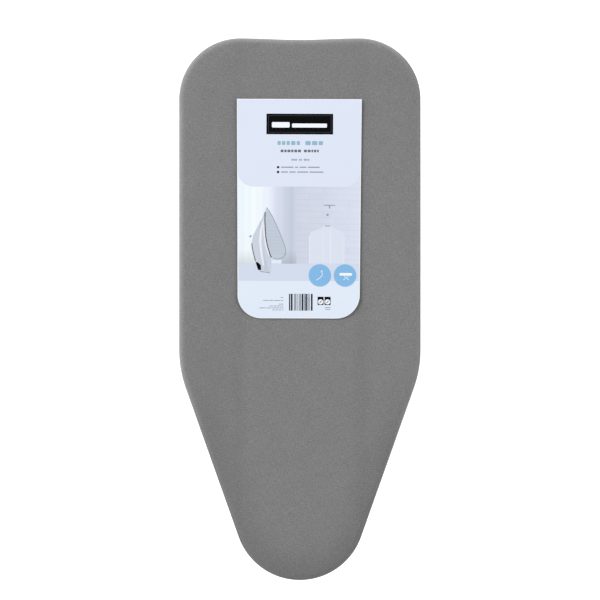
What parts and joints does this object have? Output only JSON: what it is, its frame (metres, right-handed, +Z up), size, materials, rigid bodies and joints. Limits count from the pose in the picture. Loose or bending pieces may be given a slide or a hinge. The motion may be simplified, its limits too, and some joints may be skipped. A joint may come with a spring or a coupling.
{
  "type": "tabletop ironing board",
  "caption": "Tabletop ironing board: a tapered padded top with a cloth cover over a steel mesh frame, on fold-in tubular legs, with its card label on the cover.",
  "frame": {"origin": "on the table under the middle of the board, with the legs open and the feet on z = 0", "axes": "+Y along the board towards its wide end, +Z up, +X to the right"},
  "size_m": [0.312, 0.7, 0.1512],
  "materials": {
    "cover_cloth": "matt mid-grey coated cotton, fine plain weave",
    "hem_elastic": "round braided elastic",
    "pad_felt": "off-white needled felt",
    "white_paint": "white powder coat on steel",
    "zinc_rivet": "bright zinc-plated steel",
    "plug_plastic": "moulded dark grey plastic",
    "foot_rubber": "dark grey rubber",
    "label_card": "satin coated printed card",
    "label_tape": "double-sided tissue tape"
  },
  "bodies": {
    "board": {"ironing_cover": "cover_cloth", "hem_elastic": "hem_elastic", "ironing_pad": "pad_felt", "mesh_panel": "white_paint", "rim_tube": "white_paint", "left_stiffener_rail": "white_paint", "right_stiffener_rail": "white_paint", "label_card": "label_card", "label_upper_tape": "label_tape", "label_lower_tape": "label_tape", "wide_end_left_leg_bracket": "white_paint", "wide_end_right_leg_bracket": "white_paint", "wide_end_left_pivot_rivet": "zinc_rivet", "wide_end_right_pivot_rivet": "zinc_rivet", "wide_end_left_outer_bracket_rivet": "zinc_rivet", "wide_end_left_inner_bracket_rivet": "zinc_rivet", "wide_end_right_outer_bracket_rivet": "zinc_rivet", "wide_end_right_inner_bracket_rivet": "zinc_rivet", "nose_end_left_leg_bracket": "white_paint", "nose_end_right_leg_bracket": "white_paint", "nose_end_left_pivot_rivet": "zinc_rivet", "nose_end_right_pivot_rivet": "zinc_rivet", "nose_end_left_outer_bracket_rivet": "zinc_rivet", "nose_end_left_inner_bracket_rivet": "zinc_rivet", "nose_end_right_outer_bracket_rivet": "zinc_rivet", "nose_end_right_inner_bracket_rivet": "zinc_rivet"},
    "wide_end_leg": {"wide_end_leg_tube": "white_paint", "wide_end_left_tube_plug": "plug_plastic", "wide_end_right_tube_plug": "plug_plastic", "wide_end_left_foot": "foot_rubber", "wide_end_right_foot": "foot_rubber"},
    "nose_end_leg": {"nose_end_leg_tube": "white_paint", "nose_end_left_tube_plug": "plug_plastic", "nose_end_right_tube_plug": "plug_plastic", "nose_end_left_foot": "foot_rubber", "nose_end_right_foot": "foot_rubber"}
  },
  "joints": [
    {"name": "wide_end_leg_fold", "type": "hinge", "parent": "board", "child": "wide_end_leg", "pos_m": [0, 0.205, 0.1185], "axis": [-1, 0, 0], "range_deg": [0, 102]},
    {"name": "nose_end_leg_fold", "type": "hinge", "parent": "board", "child": "nose_end_leg", "pos_m": [0, -0.168, 0.1185], "axis": [1, 0, 0], "range_deg": [0, 102]}
  ]
}
